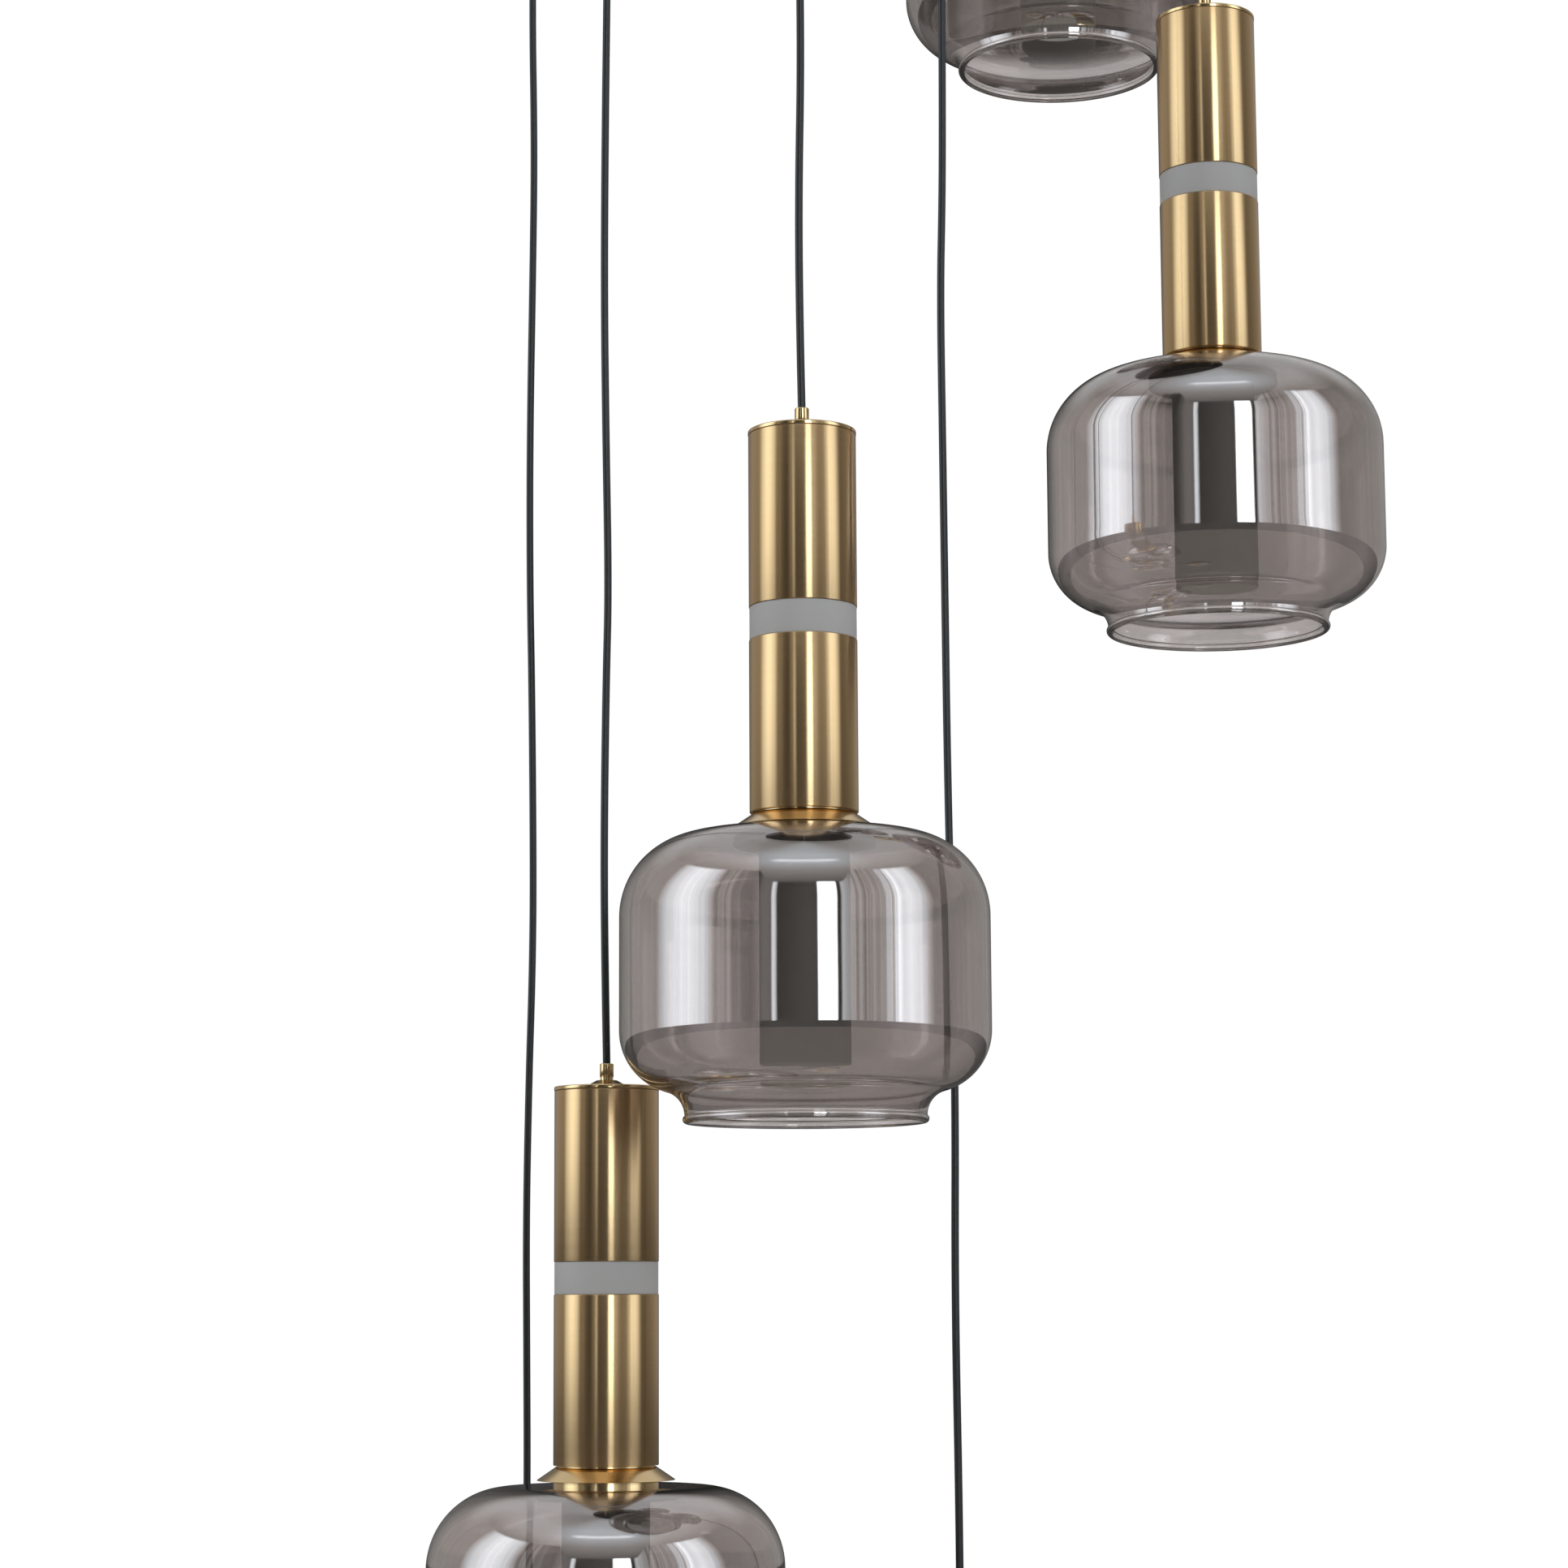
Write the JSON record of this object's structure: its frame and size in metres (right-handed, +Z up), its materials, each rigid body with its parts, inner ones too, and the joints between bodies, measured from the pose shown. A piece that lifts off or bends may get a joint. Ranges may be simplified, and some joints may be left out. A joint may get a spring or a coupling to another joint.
{
  "type": "cluster pendant",
  "caption": "Staggered cluster pendant: smoked glass drum shades under two-part brass tubes on black cords, hung from a round canopy.",
  "frame": {"origin": "middle of the ceiling plane, on the top face of the mounting bracket", "axes": "+Z up, -Y towards the viewer of the picture, +X to the viewer's right"},
  "size_m": [0.626, 0.5809, 2.34],
  "materials": {
    "tube_brass": "fine brushed, lacquered",
    "cap_brass": "turned, satin polished",
    "canopy_black": "satin black powder coat",
    "frosted_acrylic": "frosted acrylic",
    "smoked_glass": "smoke grey, half mirrored",
    "core_aluminium": "mill finish",
    "black_pvc": "satin PVC",
    "bracket_steel": "zinc plated",
    "driver_case": "moulded",
    "terminal_plastic": "moulded"
  },
  "bodies": {
    "canopy": {"canopy_cover": "canopy_black", "mounting_bracket": "bracket_steel", "canopy_screws": "canopy_black", "driver": "driver_case", "terminal_block": "terminal_plastic", "cord_grips": "cap_brass"},
    "cord_body_1": {"cord_1": "black_pvc"},
    "lamp_1": {"top_cap_1": "cap_brass", "upper_tube_1": "tube_brass", "frosted_ring_1": "frosted_acrylic", "lower_tube_1": "tube_brass", "glass_holder_1": "cap_brass", "glass_shade_1": "smoked_glass", "inner_diffuser_1": "frosted_acrylic", "light_core_1": "core_aluminium"},
    "cord_body_2": {"cord_2": "black_pvc"},
    "lamp_2": {"top_cap_2": "cap_brass", "upper_tube_2": "tube_brass", "frosted_ring_2": "frosted_acrylic", "lower_tube_2": "tube_brass", "glass_holder_2": "cap_brass", "glass_shade_2": "smoked_glass", "inner_diffuser_2": "frosted_acrylic", "light_core_2": "core_aluminium"},
    "cord_body_3": {"cord_3": "black_pvc"},
    "lamp_3": {"top_cap_3": "cap_brass", "upper_tube_3": "tube_brass", "frosted_ring_3": "frosted_acrylic", "lower_tube_3": "tube_brass", "glass_holder_3": "cap_brass", "glass_shade_3": "smoked_glass", "inner_diffuser_3": "frosted_acrylic", "light_core_3": "core_aluminium"},
    "cord_body_4": {"cord_4": "black_pvc"},
    "lamp_4": {"top_cap_4": "cap_brass", "upper_tube_4": "tube_brass", "frosted_ring_4": "frosted_acrylic", "lower_tube_4": "tube_brass", "glass_holder_4": "cap_brass", "glass_shade_4": "smoked_glass", "inner_diffuser_4": "frosted_acrylic", "light_core_4": "core_aluminium"},
    "cord_body_5": {"cord_5": "black_pvc"},
    "lamp_5": {"top_cap_5": "cap_brass", "upper_tube_5": "tube_brass", "frosted_ring_5": "frosted_acrylic", "lower_tube_5": "tube_brass", "glass_holder_5": "cap_brass", "glass_shade_5": "smoked_glass", "inner_diffuser_5": "frosted_acrylic", "light_core_5": "core_aluminium"},
    "cord_body_6": {"cord_6": "black_pvc"},
    "lamp_6": {"top_cap_6": "cap_brass", "upper_tube_6": "tube_brass", "frosted_ring_6": "frosted_acrylic", "lower_tube_6": "tube_brass", "glass_holder_6": "cap_brass", "glass_shade_6": "smoked_glass", "inner_diffuser_6": "frosted_acrylic", "light_core_6": "core_aluminium"}
  },
  "joints": [
    {"name": "cord_swing_1", "type": "hinge", "parent": "canopy", "child": "cord_body_1", "pos_m": [0.141, 0.158, -0.0543], "axis": [0.795, -0.6066, 0], "range_deg": [-1, 8]},
    {"name": "lamp_tilt_1", "type": "hinge", "parent": "cord_body_1", "child": "lamp_1", "pos_m": [0.141, 0.158, -0.1913], "axis": [0.6066, 0.795, 0], "range_deg": [-3, 3]},
    {"name": "cord_swing_2", "type": "hinge", "parent": "canopy", "child": "cord_body_2", "pos_m": [0.217, -0.025, -0.0543], "axis": [-0.0141, -0.9999, 0], "range_deg": [-1, 8]},
    {"name": "lamp_tilt_2", "type": "hinge", "parent": "cord_body_2", "child": "lamp_2", "pos_m": [0.217, -0.025, -0.6063], "axis": [0.9999, -0.0141, 0], "range_deg": [-3, 3]},
    {"name": "cord_swing_3", "type": "hinge", "parent": "canopy", "child": "cord_body_3", "pos_m": [-0.034, -0.202, -0.0543], "axis": [-0.9788, 0.2048, 0], "range_deg": [-1, 8]},
    {"name": "lamp_tilt_3", "type": "hinge", "parent": "cord_body_3", "child": "lamp_3", "pos_m": [-0.034, -0.202, -0.9083], "axis": [-0.2048, -0.9788, 0], "range_deg": [-3, 3]},
    {"name": "cord_swing_4", "type": "hinge", "parent": "canopy", "child": "cord_body_4", "pos_m": [-0.148, -0.083, -0.0543], "axis": [-0.3732, 0.9278, 0], "range_deg": [-1, 8]},
    {"name": "lamp_tilt_4", "type": "hinge", "parent": "cord_body_4", "child": "lamp_4", "pos_m": [-0.148, -0.083, -1.2653], "axis": [-0.9278, -0.3732, 0], "range_deg": [-3, 3]},
    {"name": "cord_swing_5", "type": "hinge", "parent": "canopy", "child": "cord_body_5", "pos_m": [-0.206, 0.1, -0.0543], "axis": [0.5029, 0.8643, 0], "range_deg": [-1, 8]},
    {"name": "lamp_tilt_5", "type": "hinge", "parent": "cord_body_5", "child": "lamp_5", "pos_m": [-0.206, 0.1, -1.6053], "axis": [-0.8643, 0.5029, 0], "range_deg": [-3, 3]},
    {"name": "cord_swing_6", "type": "hinge", "parent": "canopy", "child": "cord_body_6", "pos_m": [0.052, -0.08, -0.0543], "axis": [-0.7682, -0.6402, 0], "range_deg": [-1, 8]},
    {"name": "lamp_tilt_6", "type": "hinge", "parent": "cord_body_6", "child": "lamp_6", "pos_m": [0.052, -0.08, -1.9443], "axis": [0.6402, -0.7682, 0], "range_deg": [-3, 3]}
  ]
}
